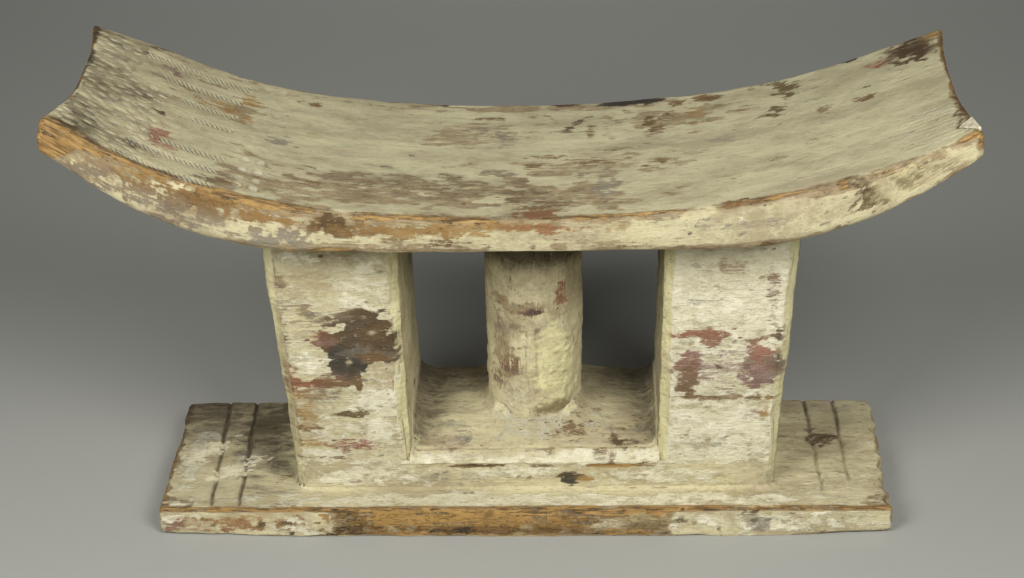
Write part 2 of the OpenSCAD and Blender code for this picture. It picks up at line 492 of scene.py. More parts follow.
def plinth_skin():
    low, high = PLINTH_LOW, PLINTH_HIGH
    left = POST_SIDES["left_post"][0]
    right = POST_SIDES["right_post"][1]
    width = high[0] - low[0]
    bottom = low[2] - 0.5
    xs = lines((0, 50, 1.25), (50, 66, 0.5), (66, width - 66, 0.9), (width - 66, width - 50, 0.5),
               (width - 50, width, 1.25))
    ys = lines((0, 10, 0.5), (10, high[1] - low[1], 0.9))

    def arris(flat):
        return np.where(flat[:, 1] < 20, UPRIGHT_ARRIS, BACK_ARRIS)

    block = rounded_block(
        xs, ys, spaced(bottom, SILL_Z, 0.9), arris, square=(TOP, UNDER), power=CHAMFER_POWER)
    x, y, z = block.points.T
    at_left, at_right = left(z), right(z)
    x = at_left + x / width * (at_right - at_left)
    y = y + low[1]
    share = (z - bottom) / (SILL_Z - bottom)
    block.place(x, y, bottom + share * (floor_height(x, y) - bottom))
    return block


def column_skin():
    """The round column, a little faceted by the blade."""
    zs = spaced(COLUMN_LOW[2] - 1, COLUMN_HIGH[2] + 0.8, 0.7)
    turns = 190
    angle = np.arange(turns) * 2 * math.pi / turns
    a, z = [grid.ravel() for grid in np.meshgrid(angle, zs)]
    around = np.column_stack([np.cos(a) * 20, np.sin(a) * 20, z])
    r = COLUMN_R + 0.35 * field(around, (14, 14, 40), 81, 2) + 0.25 * np.cos(7 * a + 0.4)
    ring = np.column_stack([COLUMN_AT[0] + r * np.cos(a), COLUMN_AT[1] + r * np.sin(a), z])
    here = np.arange(turns)
    after = (here + 1) % turns
    rows = (np.arange(len(zs) - 1) * turns)[:, None]
    quads = np.stack([rows + here, rows + after, rows + turns + after, rows + turns + here], axis=2)
    ends = np.array([[*COLUMN_AT[:2], zs[0]], [*COLUMN_AT[:2], zs[-1]]])
    n = len(ring)
    last = n - turns
    caps = [np.stack([after, here, here * 0 + n, here * 0 + n], axis=1),
            np.stack([last + here, last + after, here * 0 + n + 1, here * 0 + n + 1], axis=1)]
    skin = Skin(np.vstack([ring, ends]), np.vstack([quads.reshape(-1, 4), *caps]))
    skin.flow = skin.points[:, (2, 0, 1)] * (2.0, 1.0, 1.0)
    return skin


# ---- the slab

# Each groove's X at the back and at the front, and its Y at the back and at the front.
GROOVES = ((-137.0, -133.0, 43, -40), (-124.5, -121.0, 43, -40),
           (126.0, 128.0, 43, -30), (139.0, 140.0, 42, -22))
BITES = (18, 0, -12, -22, -28, -38)  # Y of the bites worn out of the slab's right end


def groove_depth(x, y):
    """Depth of the V-shaped grooves cut across the slab's ends."""
    total = np.zeros(len(x))
    wander = 0.35 * field(flat_points(y), 12, 91, 2)
    for at_back, at_front, back, front in GROOVES:
        along = (back - y) / (back - front)
        middle = at_back + (at_front - at_back) * along + wander
        inside = np.clip(1 - np.abs(x - middle) / 1.2, 0, 1)
        total = np.maximum(total, 1.2 * inside * smooth(1.06, 0.98, along))
    return total


def slab_skin():
    low, high = SLAB_LOW, SLAB_HIGH

    def arris(flat):
        wave = field(flat, 15, 95, 2)
        ends = smooth(high[0] - 10, high[0], np.abs(flat[:, 0]))
        return np.clip(0.9 + 0.5 * wave + 0.8 * ends, 0.5, 3)

    xs = lines((low[0], -115, 0.6), (-115, 115, 0.95), (115, high[0], 0.6))
    ys = spaced(low[1], high[1], 0.85)
    block = rounded_block(xs, ys, spaced(low[2], high[2], 1.1), arris, thin_floor=True)
    x, y, z = block.points.T
    line = flat_points(y)
    x = x + smooth(-140, low[0], x) * 1.4 * field(line, 18, 97, 2)
    bites = sum(np.exp(-((y - at) / 2.6) ** 2) for at in BITES)
    x = x - smooth(146, high[0], x) * (2.0 * bites + 0.8 * field(line, 9, 99, 2))
    share = z / high[2]
    y = y - smooth(-30, low[1], y) * (1.2 + 2.2 * (1 - share) * smooth(156, 90, np.abs(x)))
    lift = 1.3 * smooth(110, 156, np.abs(x))
    gap = beyond_box(x, y, PLINTH_LOW[:2] + 1.0, PLINTH_HIGH[:2] - 1.0, 3.0)
    top = high[2] + fillet(gap, 3.5) - groove_depth(x, y) - 0.4 * smooth(130, 156, np.abs(x))
    top = np.where(gap < 0, high[2], top)
    block.place(x, y, lift + share * (top - lift))
    block.on_top = share > 0.9
    return block


# ---- marks of age, and painted shade

INKS = {
    "brown": "#6b4f2f", "umber": "#4a3620", "black": "#2a2420", "olive": "#5f4e2c", "ochre": "#9c7a44",
    "rust": "#85563d", "red": "#946450", "plum": "#80625a", "grey": "#867d6b", "cream": "#d8d0ae",
    "orange": "#ad884c", "sand": "#b5a57c", "butter": "#ddd4a0",
}


def facing(skin, side):
    """1 where the surface looks towards a side (axis, direction), 0 where it looks elsewhere."""
    axis, direction = side
    return smooth(0.45, 0.75, skin.normals()[:, axis] * direction)


def seen_from(skin, side):
    """The two coordinates, across and up, that a view from this side shows."""
    return [skin.points[:, k] for k in range(3) if k != side[0]]


def stain(skin, side, spots, rough=0.6):
    """Ragged marks seen from one side. A spot is (ink, across, up, half width, half height,
    strength), with an angle in degrees if it slants."""
    across, up = seen_from(skin, side)
    seen = facing(skin, side)
    flat = flat_points(across, up)
    ragged = field(flat, (6, 3.5, 3.5), 131, 4) + 0.8 * field(flat, (2.6, 1.4, 1.4), 133, 2)
    for ink, at_across, at_up, wide, tall, strength, *angle in spots:
        turn = math.radians(angle[0]) if angle else 0.0
        dx, dy = across - at_across, up - at_up
        along = (dx * math.cos(turn) + dy * math.sin(turn)) / wide
        aside = (dy * math.cos(turn) - dx * math.sin(turn)) / tall
        reach = np.hypot(along, aside) + rough * ragged
        amount = np.minimum(1, strength * seen * smooth(1.75, 0.55, reach))
        total = skin.tint[:, 3] + amount * (1 - skin.tint[:, 3])
        skin.dye(ink, amount / np.maximum(total, 1e-6))
        skin.tint[:, 3] = total


def rub(skin, layer, side, spots, rough=0.6):
    """Ragged patches of bare wood, chalk, or soiling and painted shade, seen from one side.
    A spot is (across, up, half width, half height, amount)."""
    across, up = seen_from(skin, side)
    seen = facing(skin, side)
    ragged = field(flat_points(across, up), (9, 4, 4), 137, 3)
    for at_across, at_up, wide, tall, amount in spots:
        reach = np.hypot((across - at_across) / wide, (up - at_up) / tall) + rough * ragged
        skin.wear(layer, amount * seen * smooth(1.3, 0.6, reach))


def scatter(skin, side, inks, count, sizes, strength, seed):
    """Small marks of these inks all over one side; sizes is the least and the most half length."""
    random = np.random.default_rng(seed)
    spans = [(values.min(), values.max()) for values in seen_from(skin, side)]
    spots = []
    for _ in range(count):
        long = random.uniform(*sizes)
        ink = random.choice(inks)
        at = [random.uniform(*span) for span in spans]
        tall = long * random.uniform(0.25, 0.65)
        spots.append((ink, *at, long, tall, strength * random.uniform(0.6, 1.2), random.uniform(-25, 25)))
    stain(skin, side, spots)


def scatter_specks(skin, side, count, seed):
    """Small dark specks and short scratches."""
    scatter(skin, side, ("brown", "umber", "grey"), count, (0.4, 1.2), 0.65, seed)


def rubbed_arrises(skin, width, amount):
    """Paint rubbed off along the arrises, here more and there less."""
    patchy = 0.5 + 0.7 * field(skin.points, (18, 9, 9), 141, 3)
    skin.wear("bare", amount * np.clip(patchy, 0, 1.2) * smooth(width, -1.2, skin.arris))


def brown_rims(skin, amount):
    """Thin brown lines where a chamfer meets a face."""
    patchy = 0.45 + 0.8 * field(skin.points, (12, 9, 12), 143, 3)
    skin.wear("bare", amount * np.clip(patchy, 0, 1) * np.exp(-(skin.arris / 0.55) ** 2))


# ---- carved ornament of the seat

def gouge_rows():
    """The short gouge cuts at the seat's left end, in four columns of close rows.
    A cut is (X, Y, half length, half width)."""
    random = np.random.default_rng(7)
    cuts = []
    for x, back in ((-175.0, 54), (-165.5, 54), (-157.0, 20), (-149.5, 20)):
        for row, y in enumerate(np.arange(-49, back, 3.0)):
            if random.random() < 0.08:
                continue
            across = x + (2.6 if row % 2 else -2.0) + random.normal(0, 0.9)
            along = y + random.normal(0, 0.5)
            cuts.append((across, along, random.uniform(1.7, 3.2), random.uniform(0.7, 1.25)))
    return cuts


# Each rope band's Y, the X of its two ends and its width; each row of dots' Y and how clear it is.
ROPES = ((48, -160, -116, 5.0), (33, -150, -116, 4.0), (17.5, -140, -117, 4.0), (4, -135, -117, 3.4),
         (-23.5, -146, -116, 4.0), (-35.5, -153, -118, 4.0), (-49, -156, -117, 3.4))
DOT_ROWS = ((-43, 1.0), (-36, 1.0), (-28, 1.0), (-19, 1.0), (-8, 0.45), (2, 0.3), (12, 0.3), (28, 0.6),
            (36, 0.4), (45, 0.35), (53, 0.6))


def carve_ornament(seat):
    """Gouge cuts, slanting rope bands, two columns of dots and fine strokes by the right corner, with
    painted shade in the rope grooves and beside each stroke.
    """
    x, y = seat.points[:, 0], seat.points[:, 1]
    depth, pale, soil_and_shade = np.zeros((3, len(x)))
    for at_x, at_y, long, wide in gouge_rows():
        slant = y - at_y + 0.25 * (x - at_x)
        cut = np.clip(1 - ((x - at_x) / long) ** 2 - (slant / wide) ** 2, 0, 1)
        depth = np.maximum(depth, 0.55 * np.sqrt(cut))
        pale = np.maximum(pale, 0.45 * smooth(0, 0.5, cut))
    uneven = field(flat_points(x, y), (14, 10, 10), 145, 3)
    gouged = np.where(x < -160 + 3 * uneven, 1, smooth(26, 18, y))
    soil_and_shade += (0.2 + 0.3 * uneven) * smooth(-142, -150, x + 3 * uneven) * (0.45 - pale) / 0.45 * gouged
    for at_y, start, end, tall in ROPES:
        window = smooth(tall / 2 + 0.4, tall / 2 - 0.5, np.abs(y - at_y))
        window = window * smooth(start - 1, start + 1, x) * smooth(end + 1, end - 1, x)
        strand = 0.5 + 0.5 * np.sin(2 * math.pi * (x + 0.7 * (y - at_y)) / 2.0)
        depth = np.maximum(depth, 0.6 * window * strand)
        pale = np.maximum(pale, 0.6 * window * (1 - strand))
        # Painted shade: each rope band is darkened where it is cut deepest.
        soil_and_shade += 0.5 * window * strand
    for at_y, clear in DOT_ROWS:
        for at_x in (-109.3, -103.0):
            dot = np.clip(1 - ((x - at_x) / 2.1) ** 2 - ((y - at_y) / 3.0) ** 2, 0, 1)
            depth = np.maximum(depth, 0.6 * clear * dot)
            pale = np.maximum(pale, 0.36 * clear * smooth(0, 0.5, dot))
            ring = np.clip(1 - ((x - at_x) / 3.0) ** 2 - ((y - at_y) / 4.0) ** 2, 0, 1)
            soil_and_shade += 0.15 * clear * smooth(0, 0.4, ring) * (1 - smooth(0, 0.3, dot))
    for stroke in range(11):
        middle_y = -45 + 3.0 * stroke - 0.10 * (x - 163)
        line = np.exp(-((y - middle_y) / 0.6) ** 2) * smooth(148, 154, x) * smooth(178, 172, x)
        depth = np.maximum(depth, 0.3 * line)
        pale = np.maximum(pale, (0.45 + 0.3 * uneven) * line)
        # Painted shade: a dark line beside each stroke, 1.4 mm further back.
        soil_and_shade += 0.12 * np.exp(-((y - middle_y - 1.4) / 0.6) ** 2) * smooth(148, 154, x)
    seat.points[:, 2] -= depth * seat.on_top
    seat.wear("chalk", pale * seat.on_top)
    seat.wear("grime", soil_and_shade * seat.on_top)


SEAT_TOP_STAINS = (
    ("ochre", -114, 39, 3.5, 7, 0.6), ("ochre", -114, 18, 3.5, 5, 0.6), ("brown", -113, -42, 4, 4, 0.5),
    ("red", -143, -18, 3.5, 6, 0.75), ("red", -139, -29, 5, 3.5, 0.6), ("plum", -148, 42, 5, 4, 0.6),
    ("ochre", -126, 25, 7, 5, 0.55), ("umber", -146, -1, 3, 2, 0.7), ("grey", -98, 4, 4, 4, 0.6),
    ("brown", -82, -28, 3, 2.5, 0.6), ("brown", -95, 48, 2.5, 2, 0.7), ("brown", -88, 47, 2.5, 2, 0.7),
    ("rust", 8, -48, 5, 3.5, 0.8), ("brown", 9, -40, 13, 9, 0.5), ("grey", 35, -27, 5, 6, 0.65),
    ("brown", 30, -2, 6, 5, 0.45), ("grey", 33, -13, 6, 4, 0.5), ("brown", 55, -5, 5, 4, 0.5),
    ("brown", 12, 5, 8, 1.6, 0.6), ("brown", 5, -4, 3, 2.5, 0.5), ("grey", -6, 23, 4, 5, 0.6),
    ("grey", -13, 33, 5, 3, 0.6), ("brown", -12, 45, 5, 2, 0.6), ("brown", 13, 45, 11, 1.6, 0.45, -58),
    ("brown", 5, 34, 8, 1.4, 0.4, 50), ("umber", 24, 38, 7, 2, 0.7, 60), ("brown", 30, 28, 1.6, 8, 0.6),
    ("olive", 55, 38, 2.4, 6, 0.8), ("brown", 58, 27, 3, 3, 0.6), ("olive", 113, 49, 5, 6.5, 0.9),
    ("olive", 109, 56, 4, 3, 0.6), ("olive", 108, 27, 4, 4, 0.9), ("olive", 105, 30, 6, 1.2, 0.7, 50),
    ("brown", 142, 17, 4, 2.2, 0.8), ("brown", 127, 19, 3, 2.5, 0.6), ("grey", 85, 8, 6, 3.5, 0.5),
    ("umber", 165, 50, 8, 10, 0.85), ("ochre", 175, 56, 4, 4, 0.8), ("ochre", 75, 36, 4, 14, 0.5),
    ("brown", 63, 37, 3, 4, 0.6), ("brown", 67, 52, 4, 3, 0.7), ("brown", 80, 54, 4, 3, 0.7),
    ("red", 150, 46, 4, 3, 0.6), ("black", 142, 60, 4, 2, 0.8), ("brown", 85, -51, 6, 2, 0.6),
    ("brown", 176, -24, 3, 14, 0.7), ("umber", 173, -30, 2, 5, 0.6), ("brown", 40, 10, 14, 2, 0.5),
)
SEAT_RIM_STAINS = (
    ("black", 42, 58, 9, 2.6, 1.0), ("black", 56, 57, 7, 2.6, 1.0), ("umber", 20, 59, 8, 2, 0.7),
)
SEAT_FRONT_STAINS = (
    ("ochre", -150, 176, 20, 5, 0.5, -24), ("ochre", -122, 164, 22, 4, 0.55, -18),
    ("brown", -128, 166, 14, 4, 0.45, -20), ("brown", -108, 158, 16, 3, 0.4, -16),
    ("ochre", -86, 154.5, 22, 2.5, 0.4, -8), ("umber", -71, 151, 7, 4, 0.9),
    ("brown", -50, 148, 26, 2.5, 0.5), ("ochre", -20, 149, 40, 2.5, 0.5),
    ("brown", -140, 165, 20, 5, 0.42, -22), ("grey", -145, 164, 26, 4, 0.4, -24),
    ("grey", -110, 148, 24, 3, 0.4, -12), ("grey", -91, 146, 9, 3, 0.6), ("rust", 10, 149, 10, 2, 0.5),
    ("grey", 85, 150, 24, 3, 0.5), ("umber", 135, 163, 4.5, 4.5, 0.85), ("olive", 140, 160, 4, 2, 0.7),
    ("butter", 158, 173, 16, 6, 0.42, 20), ("olive", 163, 174, 8, 2, 0.5, 20),
    ("olive", 150, 168, 4, 2, 0.6), ("grey", -160, 178, 6, 5, 0.4), ("umber", -30, 141, 20, 2, 0.4),
    ("brown", 40, 141, 26, 2, 0.4),
)
SEAT_TOP_BARE = (
    (-45, -26, 60, 13, 0.45), (-70, -38, 60, 7, 0.36), (25, -33, 30, 12, 0.45), (-20, 30, 26, 12, 0.38),
    (30, -5, 34, 12, 0.38), (62, 36, 26, 12, 0.4), (-130, 28, 18, 18, 0.3), (75, 36, 8, 16, 0.3),
    (165, 50, 12, 12, 0.5), (-60, 55, 120, 5, 0.25), (20, 56, 60, 4, 0.35), (-114, 0, 5, 60, 0.2),
)
SEAT_FRONT_BARE = (
    (-160, 178, 20, 10, 0.18), (-120, 158, 30, 6, 0.25), (-30, 150, 60, 3, 0.25), (150, 172, 26, 7, 0.35),
    (60, 143, 60, 3, 0.25), (-60, 141, 60, 2.5, 0.25),
)


def rub_seat(seat):
    """Paint worn thin all over the seat, and worn through along its front arris and ends."""
    x, y = seat.points[:, 0], seat.points[:, 1]
    near_front = smooth(-40, -46, y)
    height = np.maximum(-seat.flow[:, 2], 0) + np.maximum(y - SEAT_LOW[1] - 1.5, 0)
    crest = 1.0 + 0.5 * field(flat_points(x), 18, 151, 2) + 0.5 * smooth(-40, -130, x)
    crest = crest + 3.2 * smooth(-162, -174, x)
    faded = (0.4 * smooth(30, -40, x) + 0.1) * near_front * smooth(crest + 6, crest, height)
    seat.wear("bare", faded * np.clip(0.8 + 0.8 * field(seat.points, (16, 6, 6), 153, 3), 0, 1.3))
    seat.wear("bare", 0.16 * facing(seat, FRONT) * smooth(60, -60, x))
    rub(seat, "bare", FRONT, SEAT_FRONT_BARE)
    rub(seat, "bare", TOP, SEAT_TOP_BARE)
    rub(seat, "bare", BACK, ((-120, 158, 34, 6, 0.35), (40, 148, 60, 5, 0.35), (140, 165, 30, 7, 0.35)))
    seat.layers["bare"] = np.minimum(seat.layers["bare"], 0.5)

    rubbed_arrises(seat, 0.6, 0.55)
    seat.wear("bare", near_front * smooth(crest, crest - 1.2, height))
    seat.wear("grime", 0.3 * near_front * smooth(crest + 1, crest, height))
    rub(seat, "bare", FRONT, ((-180, 190, 7, 9, 0.9),))
    rub(seat, "bare", TOP, ((174, -50, 5, 3, 0.7),))
    ragged = field(seat.points, (6, 6, 6), 157, 3)
    end_gap = np.minimum(seat.flat[:, 0] - SEAT_LOW[0], SEAT_HIGH[0] - seat.flat[:, 0])
    seat.wear("bare", (0.6 + 0.35 * ragged) * smooth(3.4, 0.8, end_gap + 1.6 * ragged))
    seat.wear("grime", 0.45 * smooth(2.6, 0.6, end_gap + 1.4 * ragged) * smooth(-35, -25, y))


def age_seat(seat):
    x, y = seat.points[:, 0], seat.points[:, 1]
    scatter(seat, TOP, ("grey", "brown", "sand", "umber"), 170, (1.5, 6), 0.38, 9)
    scatter(seat, FRONT, ("brown", "grey", "sand"), 90, (2, 8), 0.34, 10)
    scatter_specks(seat, TOP, 150, 3)
    scatter_specks(seat, FRONT, 60, 4)
    scatter_specks(seat, BACK, 40, 8)
    seat.wear("polish", 0.7 * seat.on_top * smooth(-160, -120, x))
    seat.wear("grime", 0.2 * seat.on_top)
    rub_seat(seat)
    # A dark line along the chip's outline: partly brown wear at its rim, partly painted shade where the
    # paint steps down to the filler.
    seat.wear("grime", np.exp(-((inside_chip(x, y) - 0.1) / 0.7) ** 2) * smooth(168, 171, x))
    rub(seat, "grime", TOP, ((-45, -22, 50, 12, 0.25), (-165, 0, 14, 60, 0.15), (165, 50, 9, 10, 0.5),
                             (8, -40, 14, 12, 0.25), (130, 40, 30, 14, 0.1)))
    stain(seat, TOP, SEAT_TOP_STAINS)
    stain(seat, TOP, SEAT_RIM_STAINS, 0.3)
    stain(seat, FRONT, SEAT_FRONT_STAINS)


def creamy_chamfers(skin, amount):
    """Thick yellowish paint left on the chamfered upright edges."""
    across, back, _ = np.abs(skin.normals()).T
    slanting = smooth(0.35, 0.55, across) * smooth(0.35, 0.55, back) * smooth(20, -5, skin.points[:, 1])
    skin.wear("chalk", 0.6 * amount * slanting)
    skin.dye("butter", slanting)
    skin.tint[:, 3] = np.maximum(skin.tint[:, 3], amount * slanting)


LEFT_POST_STAINS = (
    ("umber", -64, 94, 8, 6, 1.8), ("umber", -65, 85, 12, 8, 2.4), ("black", -71.5, 76, 6.5, 6, 2.4),
    ("brown", -62.5, 78, 5, 2.5, 0.9), ("brown", -68, 66, 1.6, 5, 0.8), ("rust", -88, 66, 9, 2.6, 0.8),
    ("brown", -76, 66, 9, 2, 0.6), ("rust", -82, 88, 5, 4, 0.35), ("ochre", -91, 51, 5, 6, 0.6),
    ("ochre", -93, 60, 8, 2, 0.7), ("brown", -92, 44, 9, 1, 0.7), ("ochre", -90, 36, 8, 2.2, 0.6),
    ("brown", -88, 29, 11, 0.9, 0.6), ("olive", -71.5, 51, 7, 1.6, 0.8), ("red", -74, 35, 6, 3, 0.6),
    ("red", -65, 36, 4, 2, 0.5), ("grey", -82, 98, 8, 2.5, 0.5), ("grey", -82, 60, 8, 4, 0.45),
    ("sand", -82, 114, 9, 6, 0.6), ("brown", -90, 23, 1.6, 1.2, 0.8), ("brown", -87, 18, 1.4, 1, 0.7),
    ("brown", -60, 30, 1.4, 1, 0.7), ("brown", -98, 90, 2.4, 22, 0.45), ("brown", -97, 45, 2.4, 14, 0.45),
    ("rust", -96, 68, 3, 6, 0.6),
)
RIGHT_POST_STAINS = (
    ("rust", 77, 89, 12, 2, 0.85), ("rust", 79, 85, 4, 3, 0.8), ("rust", 69, 74, 4, 4, 0.8),
    ("plum", 85, 72, 20, 11, 0.5), ("red", 101, 79, 4, 6, 0.9), ("plum", 99, 69, 7, 5, 0.7),
    ("brown", 69, 65, 4, 6, 0.7), ("brown", 84, 58, 20, 0.9, 0.7), ("ochre", 102, 51, 3, 6, 0.6),
    ("grey", 78, 35, 7, 2.4, 0.5), ("brown", 85, 15, 20, 3, 0.35), ("umber", 107, 77, 2, 3, 0.8),
    ("umber", 107, 88, 2, 3, 0.7), ("sand", 84, 118, 14, 8, 0.4), ("grey", 75, 104, 10, 2, 0.35),
    ("brown", 104, 100, 2, 16, 0.4),
)
LEFT_POST_BARE = (
    (-86, 88, 10, 12, 0.3), (-90, 66, 10, 4, 0.5), (-80, 118, 18, 8, 0.25), (-75, 100, 16, 4, 0.25),
    (-90, 40, 8, 8, 0.2),
)
RIGHT_POST_BARE = (
    (76, 88, 12, 4, 0.4), (84, 70, 20, 10, 0.35), (100, 72, 7, 12, 0.4), (85, 113, 18, 4, 0.25),
    (84, 58, 20, 1.5, 0.35),
)
LEFT_POST_CHALK = (
    (-66, 110, 10, 10, 0.25), (-60, 55, 8, 8, 0.3), (-84, 25, 14, 8, 0.3), (-84, 76, 6, 6, 0.25),
    (-62, 45, 9, 8, 0.25),
)
RIGHT_POST_CHALK = (
    (85, 101, 16, 8, 0.25), (84, 45, 16, 8, 0.3), (80, 25, 16, 7, 0.3),
)


def age_left_post(post):
    stain(post, FRONT, LEFT_POST_STAINS, 0.4)
    stain(post, FRONT, (("cream", -61, 90, 1.4, 0.9, 0.8), ("sand", -71.5, 76, 1.4, 1.2, 0.8)), 0.5)
    rub(post, "bare", FRONT, LEFT_POST_BARE)
    rub(post, "chalk", FRONT, LEFT_POST_CHALK)


def age_right_post(post):
    post.wear("chalk", (0.2 + 0.2 * smooth(60, 110, post.points[:, 2])) * facing(post, FRONT))
    stain(post, FRONT, RIGHT_POST_STAINS, 0.4)
    rub(post, "bare", FRONT, RIGHT_POST_BARE)
    rub(post, "chalk", FRONT, RIGHT_POST_CHALK)


def age_post(post):
    """Wear that both posts have, painted shade under the seat and on the inner faces, and the marks of this
    one; outer is -1 on the left post.
    """
    outer = 1 if post.points[:, 0].mean() > 0 else -1
    outward, inward, thin, inner_shade = (RIGHT, LEFT, 0.05, 0.5) if outer > 0 else (LEFT, RIGHT, 0.12, 0.2)
    z = post.points[:, 2]
    front = facing(post, FRONT)
    creamy_chamfers(post, 0.8)
    brown_rims(post, 0.65)
    post.wear("chalk", 0.32 * front)
    post.wear("bare", thin * front)
    # Painted shade of the seat: each post darkens at its top, under the seat.
    post.wear("grime", 0.35 * smooth(128, 141, z) * (1 - 0.5 * front))
    # Painted shade on the inner face, which looks into the gap; more on the right post.
    post.wear("grime", inner_shade * facing(post, inward))
    (age_right_post if outer > 0 else age_left_post)(post)
    scatter(post, FRONT, ("sand", "plum", "brown", "grey"), 30, (2, 7), 0.34, 14 + outer)
    for seen, seed in ((FRONT, 11), (BACK, 12), (outward, 13)):
        scatter_specks(post, seen, 30, seed + outer)
    rub(post, "bare", outward, ((0, 100, 20, 8, 0.3), (10, 60, 22, 5, 0.3), (-10, 35, 16, 4, 0.25)))
    rub(post, "bare", BACK, ((outer * 80, 100, 20, 6, 0.35), (outer * 75, 55, 24, 5, 0.35)))


PLINTH_TOP_STAINS = (
    ("grey", -26, -18, 5, 8, 0.5), ("brown", 16, -5, 10, 4, 0.6), ("brown", 20, -17, 6, 3, 0.6),
    ("umber", 45, -22, 4, 3, 0.6), ("umber", 38, -20, 3, 2, 0.6), ("olive", 15, -27, 6, 1.6, 0.8),
    ("brown", 33, -26, 3, 2, 0.7),
)
PLINTH_FRONT_STAINS = (
    ("brown", -22, 24.6, 12, 1.0, 1.0), ("umber", -19, 24.6, 6, 0.8, 0.9),
    ("ochre", 38, 24.6, 13, 0.8, 0.9), ("brown", 12, 24.8, 14, 0.6, 0.5),
    ("black", 20, 18.6, 4.2, 3.0, 0.95), ("ochre", 26.5, 18, 3.5, 1.4, 0.8), ("grey", -32, 19, 26, 4, 0.4),
    ("olive", 15, 28, 6, 1.2, 0.8), ("grey", 90, 17, 20, 3, 0.35),
)


def age_plinth(plinth):
    creamy_chamfers(plinth, 0.6)
    brown_rims(plinth, 0.9)
    plinth.wear("chalk", 0.15 * facing(plinth, FRONT))
    x, y, z = plinth.points.T
    beside_posts = post_gap(x, y, SILL_Z)
    between = smooth(-0.5, 1.0, beside_posts) * smooth(SILL_Z - 2, SILL_Z - 0.5, z)
    into = y - PLINTH_LOW[1]
    plinth.wear("chalk", 0.8 * between * smooth(5.0, 3.4, into))
    # Painted shade: a thin dark line, of bare wood and soiling, along the crease at the back of the sill's
    # strip.
    plinth.wear("bare", 0.5 * between * np.exp(-((into - 4.2) / 0.8) ** 2))
    plinth.wear("grime", 0.5 * between * np.exp(-((into - 5.0) / 0.6) ** 2))
    # Painted shade and light on the floor between the posts: darker all over, darker still near the posts
    # and towards the back under the seat, and paler at the front away from the posts.
    floor = between * smooth(5, 8, into)
    corner = smooth(24, 2, beside_posts)
    plinth.wear("grime", floor * (0.36 + 0.32 * corner + 0.25 * smooth(0, 30, y)))
    plinth.wear("chalk", 0.2 * floor * smooth(20, -15, y) * (1 - corner))
    stain(plinth, TOP, PLINTH_TOP_STAINS)
    stain(plinth, FRONT, PLINTH_FRONT_STAINS, 0.35)
    scatter(plinth, FRONT, ("sand", "brown", "grey"), 30, (2, 6), 0.34, 23)
    scatter(plinth, TOP, ("grey", "brown", "sand"), 40, (2, 7), 0.34, 24)
    scatter_specks(plinth, TOP, 60, 21)
    scatter_specks(plinth, FRONT, 40, 22)
    rub(plinth, "chalk", FRONT, ((27, 29, 4, 4, 0.8), (-70, 20, 26, 5, 0.4), (0, 21, 20, 3, 0.4),
                                 (60, 20, 24, 5, 0.4)))
    rub(plinth, "bare", FRONT, ((-22, 24.6, 16, 0.9, 0.5), (38, 24.6, 14, 0.9, 0.5)))


def age_column(column):
    rub(column, "bare", FRONT, ((-8, 70, 6, 20, 0.3), (16, 44, 8, 4, 0.4), (0, 92, 20, 3, 0.3)))
    column.wear("bare", 0.16)
    z = column.points[:, 2]
    # Painted shade of the seat: the column darkens towards its top, most of all in its top 16 mm.
    column.wear("grime", 0.15 * smooth(50, 100, z) + 0.95 * smooth(104, 120, z))
    stain(column, FRONT, (
        ("rust", 18, 98, 4, 5, 0.7), ("umber", 5, 90.6, 6, 1.0, 0.8), ("black", 5, 91, 2, 1.6, 0.8),
        ("grey", -8, 82, 5, 5, 0.6), ("grey", 13, 82, 6, 3, 0.5), ("brown", -4, 65, 5, 3.5, 0.6),
        ("brown", -10, 54, 3, 5, 0.5), ("umber", 6.4, 68, 0.7, 14, 0.7), ("olive", 15, 43.5, 8, 3.2, 0.85),
        ("red", 23, 47.5, 2, 4, 0.6), ("red", -14, 60, 2, 20, 0.35),
    ), 0.4)
    stain(column, FRONT, (("butter", 15, 60, 8, 19, 1.3), ("olive", 15, 43.5, 8, 2.6, 0.8)), 0.3)
    rub(column, "chalk", FRONT, ((15, 60, 7, 17, 0.5), (-4, 50, 6, 8, 0.3)), 0.25)
    scatter(column, FRONT, ("grey", "plum", "sand", "plum"), 60, (1.5, 5), 0.36, 6)
    scatter_specks(column, FRONT, 40, 5)


SLAB_FRONT_STAINS = (
    ("umber", -72, 6, 8, 5, 0.7), ("ochre", -54, 6, 10, 5, 0.7), ("brown", 0, 5, 40, 3, 0.4),
    ("orange", -20, 8, 44, 3, 0.55), ("orange", 46, 5, 14, 3, 0.5), ("orange", 10, 3, 30, 2, 0.45),
    ("rust", -132, 5, 22, 3.5, 0.5), ("ochre", -118, 8, 24, 3, 0.36), ("brown", -100, 4, 14, 3, 0.34),
    ("plum", -150, 4, 6, 3, 0.5), ("grey", 98, 6.5, 8, 3, 0.6), ("brown", 40, 8, 20, 2, 0.4),
    ("sand", 50, 7, 14, 3, 0.6), ("cream", 34, 6, 6, 2, 0.5), ("umber", -5, 3, 30, 1.5, 0.6),
    ("umber", 54, 5, 8, 2, 0.5), ("orange", -40, 9, 20, 2, 0.6),
)


